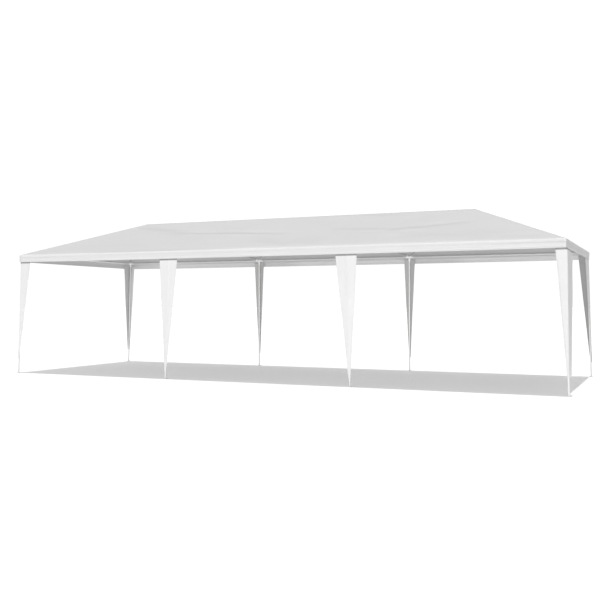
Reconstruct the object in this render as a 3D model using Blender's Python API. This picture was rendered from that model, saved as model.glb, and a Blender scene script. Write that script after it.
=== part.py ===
"""Open-sided marquee tent, three bays long, with a hipped fabric roof on a light steel frame.

The frame stands on eight round legs with square foot plates. Socketed leg heads join the legs
to the eave tubes and to the rafters, and three socketed hubs carry the rafters and the ridge.
One fabric cover with a straight valance lies over the frame, and a tapered fabric strip hangs
down each leg. Metres, +Z up, +X along the length, origin on the ground under the middle.
"""

import math

import bmesh
import bpy
from mathutils import Matrix, Quaternion, Vector

# Driving dimensions of the frame and the roof
BAY = 2.99
BAYS = 3
ROW_HALF = 1.567
EAVE_HEIGHT = 2.024
RIDGE_HEIGHT = 2.640
VALANCE_DROP = 0.118
COVER_OVERHANG = 0.035

# How far each foot stands outside the top of its leg, by kind of leg: along X, along Y
FOOT_OUT = {
    "front_corner": (0.062, 0.018),
    "back_corner": (0.062, 0.018),
    "front_middle": (0.061, 0.0),
    "back_middle": (0.0, 0.0),
}

# Tubes and sockets
TUBE_RADIUS = 0.0125
SOCKET_WALL = 0.0025
SOCKET_REACH = 0.070
SLEEVE_START = 0.008
BORE_START = 0.036
BORE_PAST = 0.010
ARM_TURN = 0.061
CORE_RADIUS = 0.0185
TUBE_SIDES = 16
CORE_RINGS = 8
FIT_GAP = 0.0003
END_GAP = 0.0006
SHARP_EDGE = math.radians(35)

# Foot plate
PLATE_HALF = 0.035
PLATE_THICK = 0.004

# Fabric, with the heights between which the leg strips hang
CLOTH = 0.003
STRIP_ENDS = {
    "front_corner": (0.250, 1.880),
    "back_corner": (0.240, 1.975),
    "front_middle": (0.110, 1.880),
    "back_middle": (0.240, 1.975),
}

# Width of the leg strips at the top. A corner strip is folded, and has a wing along the row and a
# wing along the end of the tent, in this order; all but the back right one are folded off their
# middle line. Here and below, -1 is the left corner and 1 the right one
STRIP_WIDTH = {"front_middle": 0.327, "back_middle": 0.199}
WING_WIDTH = {
    "front_corner": {-1: (0.213, 0.149), 1: (0.149, 0.213)},
    "back_corner": {-1: (0.113, 0.219), 1: (0.166, 0.166)},
}
STRIP_TAIL = 0.030
STRIP_LEG_GAP = 0.0005
STRIP_BAYS = 4

# How far a strip stands further off its leg near the top, where the socket is, and between which
# heights it gets there
STRIP_FLARE = 0.004
FLARE_HEIGHTS = (1.800, 1.920)

# How far the free edge of a corner strip's wing along the end stands outward, at the top and at
# the tail, how far the fold stands outside the leg at the top, and how far it is set inward at
# the bottom
WING_OUT = {
    "front_corner": {-1: (0.044, 0.026), 1: (0.044, 0.026)},
    "back_corner": {-1: (-0.010, 0.0), 1: (-0.045, 0.0)},
}
FOLD_OUT = {
    "front_corner": {-1: 0.019, 1: 0.045},
    "back_corner": {-1: 0.029, 1: 0.029},
}
FOLD_IN = {"front_corner": 0.004, "back_corner": -0.003}

X_AXIS = Vector((1, 0, 0))
Y_AXIS = Vector((0, 1, 0))

# Worked out from the driving dimensions
CORNER_X = BAY * BAYS / 2
LEG_X = [CORNER_X - BAY * (BAYS - i) for i in range(BAYS + 1)]
PEAK_X = [(a + b) / 2 for a, b in zip(LEG_X, LEG_X[1:])]
COVER_HALF_X = CORNER_X + COVER_OVERHANG
COVER_HALF_Y = ROW_HALF + COVER_OVERHANG
RIDGE_HALF = PEAK_X[-1]
ROOF_RISE = RIDGE_HEIGHT - EAVE_HEIGHT
SIDE_PITCH = math.atan2(ROOF_RISE, COVER_HALF_Y)
END_PITCH = math.atan2(ROOF_RISE, COVER_HALF_X - RIDGE_HALF)
STEEP_PITCH = max(SIDE_PITCH, END_PITCH)


def clear_scene():
    """Remove whatever the open file holds."""
    for old in list(bpy.data.objects):
        bpy.data.objects.remove(old, do_unlink=True)


def surface(name, colour, roughness, metallic):
    """Return a Principled BSDF material."""
    made = bpy.data.materials.new(name)
    made.use_nodes = True
    shader = made.node_tree.nodes["Principled BSDF"]
    shader.inputs["Base Color"].default_value = (*colour, 1.0)
    shader.inputs["Roughness"].default_value = roughness
    shader.inputs["Metallic"].default_value = metallic
    made.diffuse_color = (*colour, 1.0)
    return made


def add_object(name, mesh, material):
    """Link a mesh to the scene as one named object."""
    mesh.materials.clear()
    mesh.materials.append(material)
    made = bpy.data.objects.new(name, mesh)
    bpy.context.scene.collection.objects.link(made)
    return made


def loft(rings, name):
    """Skin a row of rings that have equal counts of points, and close both ends."""
    mesh = bpy.data.meshes.new(name)
    shape = bmesh.new()
    rows = [[shape.verts.new(point) for point in ring] for ring in rings]
    count = len(rows[0])
    for low, high in zip(rows, rows[1:]):
        for i in range(count):
            j = (i + 1) % count
            shape.faces.new((low[i], low[j], high[j], high[i]))
    shape.faces.new(list(reversed(rows[0])))
    shape.faces.new(rows[-1])
    bmesh.ops.recalc_face_normals(shape, faces=shape.faces)
    shape.to_mesh(mesh)
    shape.free()
    return mesh


def round_ring(centre, radius, side=X_AXIS, up=Y_AXIS):
    """Points of a circle in the plane of two unit vectors."""
    angles = [2 * math.pi * i / TUBE_SIDES for i in range(TUBE_SIDES)]
    return [centre + radius * (math.cos(a) * side + math.sin(a) * up) for a in angles]


def square_ring(centre, half):
    """Points on a square that line up with the points of round_ring."""
    points = []
    for step in round_ring(Vector((0, 0, 0)), 1.0):
        stretch = half / max(abs(step.x), abs(step.y))
        points.append(centre + step * stretch)
    return points


def smooth_sides(mesh):
    """Shade the round sides smooth and keep the rims sharp."""
    mesh.shade_smooth()
    mesh.set_sharp_from_angle(angle=SHARP_EDGE)
    return mesh


def roof_height(x, y):
    """Height of the cover's outer face over a point inside its outline."""
    side = EAVE_HEIGHT + (COVER_HALF_Y - abs(y)) * math.tan(SIDE_PITCH)
    end = EAVE_HEIGHT + (COVER_HALF_X - abs(x)) * math.tan(END_PITCH)
    return min(side, end, RIDGE_HEIGHT)


def core_height(x, y):
    """Height of a socket core's centre that just clears the cover's inner face."""
    drop = (CLOTH + FIT_GAP + CORE_RADIUS) / math.cos(STEEP_PITCH)
    return roof_height(x, y) - drop


HEAD_HEIGHT = core_height(CORNER_X, ROW_HALF)
HUB_HEIGHT = core_height(RIDGE_HALF, 0.0)


def head_centre(column, side):
    """Centre of the leg head in one column (0 to 3) and on one side (-1 front, 1 back)."""
    return Vector((LEG_X[column], side * ROW_HALF, HEAD_HEIGHT))


def leg_kind(column, side):
    """Which of the four kinds of leg stands in one column and on one side."""
    row = "front" if side < 0 else "back"
    return f"{row}_corner" if column in (0, BAYS) else f"{row}_middle"


def foot_point(column, side):
    """Point on the ground where the axis of one leg ends."""
    outward = math.copysign(1.0, LEG_X[column])
    out_x, out_y = FOOT_OUT[leg_kind(column, side)]
    return Vector((LEG_X[column] + outward * out_x, side * (ROW_HALF + out_y), 0.0))


def leg_axis(column, side, height):
    """Point of a leg's axis at one height."""
    foot = foot_point(column, side)
    head = head_centre(column, side)
    return foot.lerp(head, height / head.z)


def hub_centre(bay):
    """Centre of the hub over the middle of one bay."""
    return Vector((PEAK_X[bay], 0.0, HUB_HEIGHT))


def across(direction, turn):
    """Two unit vectors square to a direction and to each other, turned about it."""
    helper = Vector((0, 0, 1)) if abs(direction.z) < 0.8 else Vector((1, 0, 0))
    side = direction.cross(helper).normalized()
    side.rotate(Quaternion(direction, turn))
    return side, direction.cross(side).normalized()


def bar_mesh(start, end, radius, name, turn=0.0):
    """A straight round bar between two points, with its first edge turned about it."""
    direction = (end - start).normalized()
    side, up = across(direction, turn)
    return smooth_sides(loft([round_ring(start, radius, side, up), round_ring(end, radius, side, up)], name))


def tube_between(name, start, end, material):
    """A tube that ends just short of the bottoms of the two sockets it sits in."""
    direction = (end - start).normalized()
    inset = BORE_START + END_GAP
    mesh = bar_mesh(start + inset * direction, end - inset * direction, TUBE_RADIUS, name)
    return add_object(name, mesh, material)


def core_mesh(centre, name):
    """The round core of a fitting."""
    mesh = bpy.data.meshes.new(name)
    shape = bmesh.new()
    bmesh.ops.create_uvsphere(
        shape,
        u_segments=TUBE_SIDES,
        v_segments=CORE_RINGS,
        radius=CORE_RADIUS,
        matrix=Matrix.Translation(centre),
    )
    shape.to_mesh(mesh)
    shape.free()
    return mesh


def hidden_helper(name, mesh):
    """An object that only shapes another one through a Boolean."""
    made = bpy.data.objects.new(name, mesh)
    bpy.context.scene.collection.objects.link(made)
    made.hide_render = True
    made.display_type = "WIRE"
    return made


def boolean(target, helper, operation):
    """Add an exact Boolean to an object."""
    step = target.modifiers.new(operation.title(), "BOOLEAN")
    step.operation = operation
    step.solver = "EXACT"
    step.object = helper


def fitting(name, centre, ends, material):
    """A socketed fitting: a round core with one blind socket towards each far point."""
    made = add_object(name, core_mesh(centre, name), material)
    hole = TUBE_RADIUS + FIT_GAP
    bores = []
    for index, far in enumerate(ends):
        direction = (far - centre).normalized()
        mouth = centre + SOCKET_REACH * direction
        root = centre + SLEEVE_START * direction
        sleeve = bar_mesh(root, mouth, hole + SOCKET_WALL, name + "_sleeve", ARM_TURN * (index + 1))
        boolean(made, hidden_helper(f"{name}_sleeve_{index}", sleeve), "UNION")
        bore = bar_mesh(centre + BORE_START * direction, mouth + BORE_PAST * direction, hole, name + "_bore")
        bores.append(hidden_helper(f"{name}_bore_{index}", bore))
    for bore in bores:
        boolean(made, bore, "DIFFERENCE")
    return made


def leg(name, column, side, material):
    """One leg: a round tube welded to a square foot plate."""
    foot = foot_point(column, side)
    head = head_centre(column, side)
    rise = (head - foot).normalized()
    top = head - rise * (BORE_START + END_GAP)
    across_x = (X_AXIS - X_AXIS.project(rise)).normalized()
    rings = [
        square_ring(foot, PLATE_HALF),
        square_ring(foot + Vector((0.0, 0.0, PLATE_THICK)), PLATE_HALF),
        round_ring(leg_axis(column, side, PLATE_THICK), TUBE_RADIUS),
        round_ring(top, TUBE_RADIUS, across_x, rise.cross(across_x)),
    ]
    return add_object(name, smooth_sides(loft(rings, name)), material)


def climb(low, high, height):
    """Share of the way from one height to another, kept between 0 and 1."""
    return min(1.0, max(0.0, (height - low) / (high - low)))


def taper(kind, top_width, height):
    """Width of a leg strip, or of one of its wings, at one height: a straight taper."""
    return STRIP_TAIL + climb(*STRIP_ENDS[kind], height) * (top_width - STRIP_TAIL)


def wing_lean(kind, outward, height):
    """How far an end wing's free edge stands outward at one height."""
    top_lean, tail_lean = WING_OUT[kind][outward]
    return tail_lean + climb(*STRIP_ENDS[kind], height) * (top_lean - tail_lean)


def strip_y(column, side, height):
    """Outer face of a leg strip at one height, across the tent."""
    off = TUBE_RADIUS + STRIP_LEG_GAP + CLOTH + STRIP_FLARE * climb(*FLARE_HEIGHTS, height)
    return leg_axis(column, side, height).y + side * off


def fold_x(column, side, height):
    """Outer face of a corner strip's wing along the end, at the fold."""
    kind = leg_kind(column, side)
    outward = int(math.copysign(1, LEG_X[column]))
    bottom, top = STRIP_ENDS[kind]
    tail = TUBE_RADIUS + STRIP_LEG_GAP + CLOTH - FOLD_IN[kind]
    low_x = leg_axis(column, side, bottom).x + outward * tail
    high_x = LEG_X[column] + outward * FOLD_OUT[kind][outward]
    return low_x + climb(bottom, top, height) * (high_x - low_x)


def strip_heights(kind):
    """Heights of the rings of a leg strip, from the bottom up."""
    bottom, top = STRIP_ENDS[kind]
    rings = {bottom + (top - bottom) * i / STRIP_BAYS for i in range(STRIP_BAYS + 1)}
    rings |= {height for height in FLARE_HEIGHTS if height < top}
    return sorted(rings)


def middle_strip(name, column, side, material):
    """A flat tapered strip of fabric on the outer side of a middle leg."""
    kind = leg_kind(column, side)
    rings = []
    for height in strip_heights(kind):
        outer = strip_y(column, side, height)
        inner = outer - side * CLOTH
        centre_x = leg_axis(column, side, height).x
        half = taper(kind, STRIP_WIDTH[kind], height) / 2
        corners = [(-half, outer), (half, outer), (half, inner), (-half, inner)]
        rings.append([Vector((centre_x + dx, y, height)) for dx, y in corners])
    return add_object(name, loft(rings, name), material)


def corner_strip(name, column, side, material):
    """A tapered strip of fabric folded round the outer side of a corner leg."""
    kind = leg_kind(column, side)
    outward = int(math.copysign(1, LEG_X[column]))
    rings = []
    for height in strip_heights(kind):
        edge_x, edge_y = fold_x(column, side, height), strip_y(column, side, height)
        row, end = [taper(kind, width, height) for width in WING_WIDTH[kind][outward]]
        out = wing_lean(kind, outward, height)
        outline = [(0, 0), (row, 0), (row, CLOTH), (CLOTH, CLOTH), (CLOTH - out, end), (-out, end)]
        rings.append([Vector((edge_x - outward * a, edge_y - side * b, height)) for a, b in outline])
    return add_object(name, loft(rings, name), material)


def cover(name, material):
    """The fabric roof: a hipped shell, open underneath, with a straight valance all round."""
    def shell(inset, lowered):
        half_x, half_y = COVER_HALF_X - inset, COVER_HALF_Y - inset
        corners = [(-half_x, -half_y), (half_x, -half_y), (half_x, half_y), (-half_x, half_y)]
        rim = EAVE_HEIGHT - VALANCE_DROP
        hem = [(x, y, rim) for x, y in corners]
        eave = [(x, y, roof_height(x, y) - lowered) for x, y in corners]
        ridge = [(x, 0.0, RIDGE_HEIGHT - lowered) for x in (-RIDGE_HALF, RIDGE_HALF)]
        return hem, eave, ridge

    mesh = bpy.data.meshes.new(name)
    shape = bmesh.new()
    hems = []
    for inset, lowered, flip in ((0.0, 0.0, False), (CLOTH, CLOTH / math.cos(STEEP_PITCH), True)):
        hem, eave, ridge = [[shape.verts.new(p) for p in row] for row in shell(inset, lowered)]
        hems.append(hem)
        faces = [(hem[i], hem[(i + 1) % 4], eave[(i + 1) % 4], eave[i]) for i in range(4)]
        faces += [(eave[0], eave[1], ridge[1], ridge[0]), (eave[1], eave[2], ridge[1])]
        faces += [(eave[2], eave[3], ridge[0], ridge[1]), (eave[3], eave[0], ridge[0])]
        for face in faces:
            shape.faces.new(tuple(reversed(face)) if flip else face)
    outer, inner = hems
    for i in range(4):
        j = (i + 1) % 4
        shape.faces.new((outer[j], outer[i], inner[i], inner[j]))
    bmesh.ops.recalc_face_normals(shape, faces=shape.faces)
    shape.to_mesh(mesh)
    shape.free()
    return add_object(name, mesh, material)


def main():
    """Build the tent."""
    clear_scene()
    steel = surface("white_coated_steel", (0.88, 0.88, 0.88), 0.38, 0.0)
    moulding = surface("white_moulding", (0.90, 0.90, 0.89), 0.45, 0.0)
    fabric = surface("white_cover_fabric", (0.86, 0.86, 0.86), 0.55, 0.0)
    strip = surface("white_strip_fabric", (0.88, 0.88, 0.88), 0.60, 0.0)

    columns = ("left", "left_middle", "right_middle", "right")
    bays = ("left", "middle", "right")

    for row, side in (("front", -1), ("back", 1)):
        for column, place in enumerate(columns):
            tag = f"{row}_{place}"
            corner = column in (0, BAYS)
            leg(f"leg_{tag}", column, side, steel)
            make_strip = corner_strip if corner else middle_strip
            make_strip(f"leg_strip_{tag}", column, side, strip)
            ends = [foot_point(column, side)]
            ends += [head_centre(c, side) for c in (column - 1, column + 1) if 0 <= c <= BAYS]
            ends += [hub_centre(b) for b in (column - 1, column) if 0 <= b < BAYS]
            if corner:
                ends.append(head_centre(column, -side))
            fitting(f"leg_head_{tag}", head_centre(column, side), ends, moulding)

        for bay, place in enumerate(bays):
            start, end = head_centre(bay, side), head_centre(bay + 1, side)
            tube_between(f"eave_tube_{row}_{place}", start, end, steel)
            for which, column in (("left", bay), ("right", bay + 1)):
                name = f"rafter_{row}_{place}_bay_{which}"
                tube_between(name, head_centre(column, side), hub_centre(bay), steel)

    for column, place in ((0, "left"), (BAYS, "right")):
        tube_between(f"eave_tube_{place}_end", head_centre(column, -1), head_centre(column, 1), steel)

    for bay, place in enumerate(bays):
        ends = [head_centre(c, side) for c in (bay, bay + 1) for side in (-1, 1)]
        ends += [hub_centre(b) for b in (bay - 1, bay + 1) if 0 <= b < BAYS]
        fitting(f"ridge_hub_{place}", hub_centre(bay), ends, moulding)
    for bay, place in ((0, "left"), (1, "right")):
        tube_between(f"ridge_tube_{place}", hub_centre(bay), hub_centre(bay + 1), steel)

    cover("roof_cover", fabric)


main()
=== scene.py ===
"""A three-bay party marquee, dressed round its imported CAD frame.

Metres, +Z up, +X along the length. Cloth, poles and fittings are surfaces worked out with numpy
from the tent's own sizes, and every finish is a shader made of nodes.
"""

import logging
import math
from collections.abc import Callable
from dataclasses import dataclass
from enum import Enum

import bmesh
import bpy
import numpy as np
from mathutils import Euler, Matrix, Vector


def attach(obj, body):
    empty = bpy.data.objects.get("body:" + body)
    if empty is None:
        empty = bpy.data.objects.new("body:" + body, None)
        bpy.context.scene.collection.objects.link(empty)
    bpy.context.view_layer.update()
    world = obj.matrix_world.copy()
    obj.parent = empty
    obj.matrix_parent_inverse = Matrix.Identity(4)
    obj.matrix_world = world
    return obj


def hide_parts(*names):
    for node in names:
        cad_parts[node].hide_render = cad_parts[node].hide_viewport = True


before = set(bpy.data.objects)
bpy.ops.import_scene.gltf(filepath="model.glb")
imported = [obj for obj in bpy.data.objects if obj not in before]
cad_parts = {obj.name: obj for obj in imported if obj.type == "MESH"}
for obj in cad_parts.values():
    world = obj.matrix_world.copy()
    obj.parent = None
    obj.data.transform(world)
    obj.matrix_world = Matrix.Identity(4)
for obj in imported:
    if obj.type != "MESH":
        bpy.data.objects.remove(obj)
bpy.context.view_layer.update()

Array = np.ndarray
Triple = tuple[float, float, float]
Colour = Triple
Pair = tuple[float, float]
LOG = logging.getLogger("marquee")
BODY = "root"
UP = np.array([0.0, 0.0, 1.0])
FULL_TURN = 2.0 * math.pi
WHITE = (1.0, 1.0, 1.0, 1.0)
# Past this seam distance a strip's colour is painted dark: a painted shadow of the valance.
TUCKED = 8.0  # the seam map's distance where a strip is tucked behind the valance
MID_ROUND = 0.3  # how far in the middle of a rounded rim lies, as a share of the rim
STEEP = 0.8  # an axis that rises more than this to a metre is turned about x instead of up
WELD = 2e-6  # points closer than this become one, in metres
LEAST_EDGE = 1e-7  # edges shorter than this are dissolved, in metres


def unit(vector: Array) -> Array:
    """The vector at length one."""
    return vector / np.linalg.norm(vector)


def blend_over(value: Array, low: float, high: float) -> Array:
    """A smooth S from 0 at low to 1 at high: 3t^2 - 2t^3 of the share t of the way.

    Args:
        value: Numbers to judge.
        low: Where the S leaves 0.
        high: Where the S reaches 1.

    Returns:
        The S at each value.
    """
    share = np.clip((value - low) / (high - low), 0.0, 1.0)
    return share * share * (3.0 - 2.0 * share)


def hump(value: Array, centre: float, width: float) -> Array:
    """A bell curve of height 1 about centre: exp of minus the squared distance in widths."""
    return np.exp(-(((value - centre) / width) ** 2))


def together(*parts: Array) -> Array:
    """Arrays spread to one shape and set side by side along a last axis."""
    return np.stack(np.broadcast_arrays(*parts), axis=-1)


def circle(faces: int) -> Array:
    """The angles of a full turn in so many equal steps."""
    return np.linspace(0.0, FULL_TURN, faces + 1)


@dataclass(frozen=True)
class Wave:
    """A sine of one distance: size * sin(pace * distance + phase)."""

    size: float
    pace: float
    phase: float = 0.0

    def at(self, distance: Array, shift: Array | float = 0.0) -> Array:
        """The wave at each distance, with its phase moved on by shift."""
        return self.size * np.sin(self.pace * distance + self.phase + shift)


def distance_to_segment(x: Array, y: Array, start: Array, end: Array) -> tuple[Array, Array]:
    """Distance in plan from points to a segment, and where along it the nearest point is.

    Args:
        x: The points' x.
        y: The points' y.
        start: The segment's first end.
        end: The segment's last end.

    Returns:
        The distances, and the shares from 0 at start to 1 at end.
    """
    run = end[:2] - start[:2]
    share = ((x - start[0]) * run[0] + (y - start[1]) * run[1]) / float(run @ run)
    share = np.clip(share, 0.0, 1.0)
    return np.hypot(x - start[0] - share * run[0], y - start[1] - share * run[1]), share


class Side(Enum):
    """The two long sides of the tent, with the sign of their y."""

    FRONT = -1
    BACK = 1


@dataclass(frozen=True)
class TentPlan:
    """The tent's main sizes, the same as in its solids."""

    bay: float = 2.99
    bays: int = 3
    row_half: float = 1.567
    eave: float = 2.024
    ridge: float = 2.640
    valance: float = 0.118
    overhang: float = 0.035
    cloth: float = 0.003
    gap: float = 0.0003
    core: float = 0.0185
    tube: float = 0.0125
    corner_splay: Pair = (0.062, 0.018)
    front_splay: float = 0.061
    places: tuple[str, ...] = ("left", "left_middle", "right_middle", "right")
    bay_names: tuple[str, ...] = ("left", "middle", "right")

    @property
    def corner_x(self) -> float:
        """Half the distance between the end legs' heads."""
        return self.bay * self.bays / 2

    @property
    def half_x(self) -> float:
        """Half the cover's length."""
        return self.corner_x + self.overhang

    @property
    def half_y(self) -> float:
        """Half the cover's width."""
        return self.row_half + self.overhang

    @property
    def ridge_half(self) -> float:
        """Half the ridge's length."""
        return self.corner_x - self.bay / 2

    @property
    def rise(self) -> float:
        """Height of the ridge over the eaves."""
        return self.ridge - self.eave

    @property
    def side_pitch(self) -> float:
        """Slope of the long sides, in radians."""
        return math.atan2(self.rise, self.half_y)

    @property
    def under_cloth(self) -> float:
        """How far below a slope's own height a fitting's middle just clears the cloth."""
        end_pitch = math.atan2(self.rise, self.half_x - self.ridge_half)
        return (self.cloth + self.gap + self.core) / math.cos(max(self.side_pitch, end_pitch))

    def leg_x(self, column: int) -> float:
        """Where one column of legs has its heads, along x."""
        return -self.corner_x + self.bay * column

    def is_corner(self, column: int) -> bool:
        """Whether a column stands at an end of the tent."""
        return column in (0, self.bays)

    def head(self, column: int, side: Side) -> Array:
        """Centre of one leg head."""
        height = self.eave + self.overhang * math.tan(self.side_pitch) - self.under_cloth
        return np.array([self.leg_x(column), side.value * self.row_half, height])

    def hub(self, bay: int) -> Array:
        """Centre of the hub over one bay."""
        return np.array([(self.leg_x(bay) + self.leg_x(bay + 1)) / 2, 0.0, self.ridge - self.under_cloth])

    def foot(self, column: int, side: Side) -> Array:
        """Where the axis of one leg meets the ground: outside its head, but for the back middles.

        Args:
            column: Which column of legs, from 0 at the left.
            side: Which long side.

        Returns:
            The point on the ground.
        """
        out_x, out_y = (self.front_splay if side is Side.FRONT else 0.0), 0.0
        if self.is_corner(column):
            out_x, out_y = self.corner_splay
        x = self.leg_x(column)
        return np.array([x + math.copysign(out_x, x), side.value * (self.row_half + out_y), 0.0])

    def legs(self) -> list[tuple[int, Side, str]]:
        """Every leg as its column, side and name."""
        return [(column, side, f"{side.name.lower()}_{place}")
                for side in Side for column, place in enumerate(self.places)]

    def leg_axis(self, column: int, side: Side, height: Array) -> Array:
        """Points of one leg's axis at given heights, one row of x, y, z to each height."""
        foot, head = self.foot(column, side), self.head(column, side)
        return foot + (np.asarray(height)[..., None] / head[2]) * (head - foot)

    def spans(self) -> list[tuple[str, Array, Array]]:
        """Every straight pole of the roof.

        Returns:
            The name of its node, its start and its end.
        """
        made = []
        for side in Side:
            row = side.name.lower()
            for bay, place in enumerate(self.bay_names):
                made.append((f"eave_tube_{row}_{place}", self.head(bay, side), self.head(bay + 1, side)))
                for which, column in (("left", bay), ("right", bay + 1)):
                    name = f"rafter_{row}_{place}_bay_{which}"
                    made.append((name, self.head(column, side), self.hub(bay)))
        for column, place in ((0, "left"), (self.bays, "right")):
            ends = self.head(column, Side.FRONT), self.head(column, Side.BACK)
            made.append((f"eave_tube_{place}_end", *ends))
        for bay, place in ((0, "left"), (1, "right")):
            made.append((f"ridge_tube_{place}", self.hub(bay), self.hub(bay + 1)))
        return made


def maths(operation: str, swapped: bool = False) -> Callable[..., "Number"]:
    """A method that works out one Math node.

    Args:
        operation: The node's operation.
        swapped: Whether the method's own number goes in last, as in 1 - mask.

    Returns:
        The method.
    """
    def method(own: "Number", *others: "Number | float") -> "Number":
        """The Math node's output."""
        values = (*others, own) if swapped else (own, *others)
        return own.graph.node("ShaderNodeMath", {"operation": operation}, dict(enumerate(values)))
    return method


class Number:
    """A number socket of a shader, which Python's operators turn into Math nodes."""

    def __init__(self, graph: "Graph", socket: bpy.types.NodeSocket) -> None:
        """Hold the socket and the graph it is in."""
        self.graph = graph
        self.socket = socket

    __add__ = maths("ADD")
    __radd__ = maths("ADD", swapped=True)
    __sub__ = maths("SUBTRACT")
    __rsub__ = maths("SUBTRACT", swapped=True)
    __mul__ = maths("MULTIPLY")
    __rmul__ = maths("MULTIPLY", swapped=True)
    __truediv__ = maths("DIVIDE")
    __rtruediv__ = maths("DIVIDE", swapped=True)
    __lt__ = maths("LESS_THAN")
    __gt__ = maths("GREATER_THAN")
    __abs__ = maths("ABSOLUTE")
    sin = maths("SINE")
    fraction = maths("FRACT")


class Graph:
    """The node tree of one material or of the world."""

    def __init__(self, tree: bpy.types.NodeTree) -> None:
        """Start with an empty tree."""
        self.tree = tree
        tree.nodes.clear()

    def node(self, kind: str, settings: dict[str, object] | None = None,
             inputs: dict[int | str, object] | None = None, output: int | str = 0) -> Number | None:
        """Add any node.

        Args:
            kind: The node's type.
            settings: Its settings, put on first; "stops" fills a ramp.
            inputs: Values or links of its sockets, by name or place.
            output: Which of its outputs to hand back.

        Returns:
            That output, or nothing from a node without any.
        """
        made = self.tree.nodes.new(kind)
        for key, value in (settings or {}).items():
            if key == "stops":
                ramp = made.color_ramp.elements
                ramp.remove(ramp[1])
                ramp[0].position, ramp[0].color = value[0]
                for place, colour in value[1:]:
                    ramp.new(place).color = colour
            else:
                setattr(made, key, value)
        for key, value in (inputs or {}).items():
            if isinstance(value, Number):
                self.tree.links.new(value.socket, made.inputs[key])
            else:
                made.inputs[key].default_value = value
        return Number(self, made.outputs[output]) if len(made.outputs) else None

    def mix(self, share: Number | float, low: Colour | Number, high: Colour | Number) -> Number:
        """A colour between two others.

        Args:
            share: 0 for low, 1 for high.
            low: The first colour.
            high: The last colour.

        Returns:
            The mixed colour.
        """
        ends = [end if isinstance(end, Number) else (*end, 1.0) for end in (low, high)]
        return self.node("ShaderNodeMix", {"data_type": "RGBA"}, {0: share, 6: ends[0], 7: ends[1]}, 2)

    def noise(self, vector: Number, scale: float, detail: float = 2.0, roughness: float = 0.5) -> Number:
        """Smooth random numbers from 0 to 1.

        Args:
            vector: Where to read them.
            scale: Waves to a metre.
            detail: How many finer layers lie on them.
            roughness: How strong the finer layers are.

        Returns:
            The numbers.
        """
        inputs = {"Vector": vector, "Scale": scale, "Detail": detail, "Roughness": roughness}
        return self.node("ShaderNodeTexNoise", {}, inputs)

    def stretch(self, vector: Number, scale: Triple) -> Number:
        """The vector with each of its numbers multiplied."""
        return self.node("ShaderNodeMapping", {}, {"Vector": vector, "Scale": scale})

    def scaled(self, colour: Number, gain: Number) -> Number:
        """A colour times a number."""
        return self.node("ShaderNodeVectorMath", {"operation": "SCALE"}, {0: colour, "Scale": gain})

    def part(self, vector: Number, axis: int) -> Number:
        """One number of a vector, 0 for the first."""
        return self.node("ShaderNodeSeparateXYZ", {}, {0: vector}, axis)

    def uv(self, name: str) -> tuple[Number, Number]:
        """The two numbers of one of the mesh's own maps."""
        vector = self.node("ShaderNodeUVMap", {"uv_map": name})
        return self.part(vector, 0), self.part(vector, 1)

    def place(self, output: str = "Object") -> Number:
        """The point on the object, in metres, or another of the coordinates."""
        return self.node("ShaderNodeTexCoord", {}, {}, output)


def new_material(name: str, shade: Colour) -> tuple[bpy.types.Material, Graph]:
    """An empty material and its graph.

    Args:
        name: The material's name.
        shade: Its colour in plain views.

    Returns:
        The material and the graph of its nodes.
    """
    material = bpy.data.materials.new(name)
    material.use_nodes = True
    material.diffuse_color = (*shade, 1.0)
    return material, Graph(material.node_tree)


def finish_surface(graph: Graph, inputs: dict[str, object], height: Number, strength: float,
                   painted_glow: float = 0.0) -> None:
    """Close a material with a Principled shader over a bumped normal.

    Args:
        graph: The material's graph.
        inputs: What goes into the Principled shader.
        height: The height of the relief, in metres.
        strength: How much of the relief shows.
        painted_glow: An even painted glow, light the surface gives off though it is no lamp.
    """
    bump = graph.node("ShaderNodeBump", {}, {"Height": height, "Distance": 1.0, "Strength": strength})
    inputs = {**inputs, "Normal": bump, "Emission Color": WHITE, "Emission Strength": painted_glow}
    shader = graph.node("ShaderNodeBsdfPrincipled", {}, inputs)
    graph.node("ShaderNodeOutputMaterial", {}, {"Surface": shader})


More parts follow.
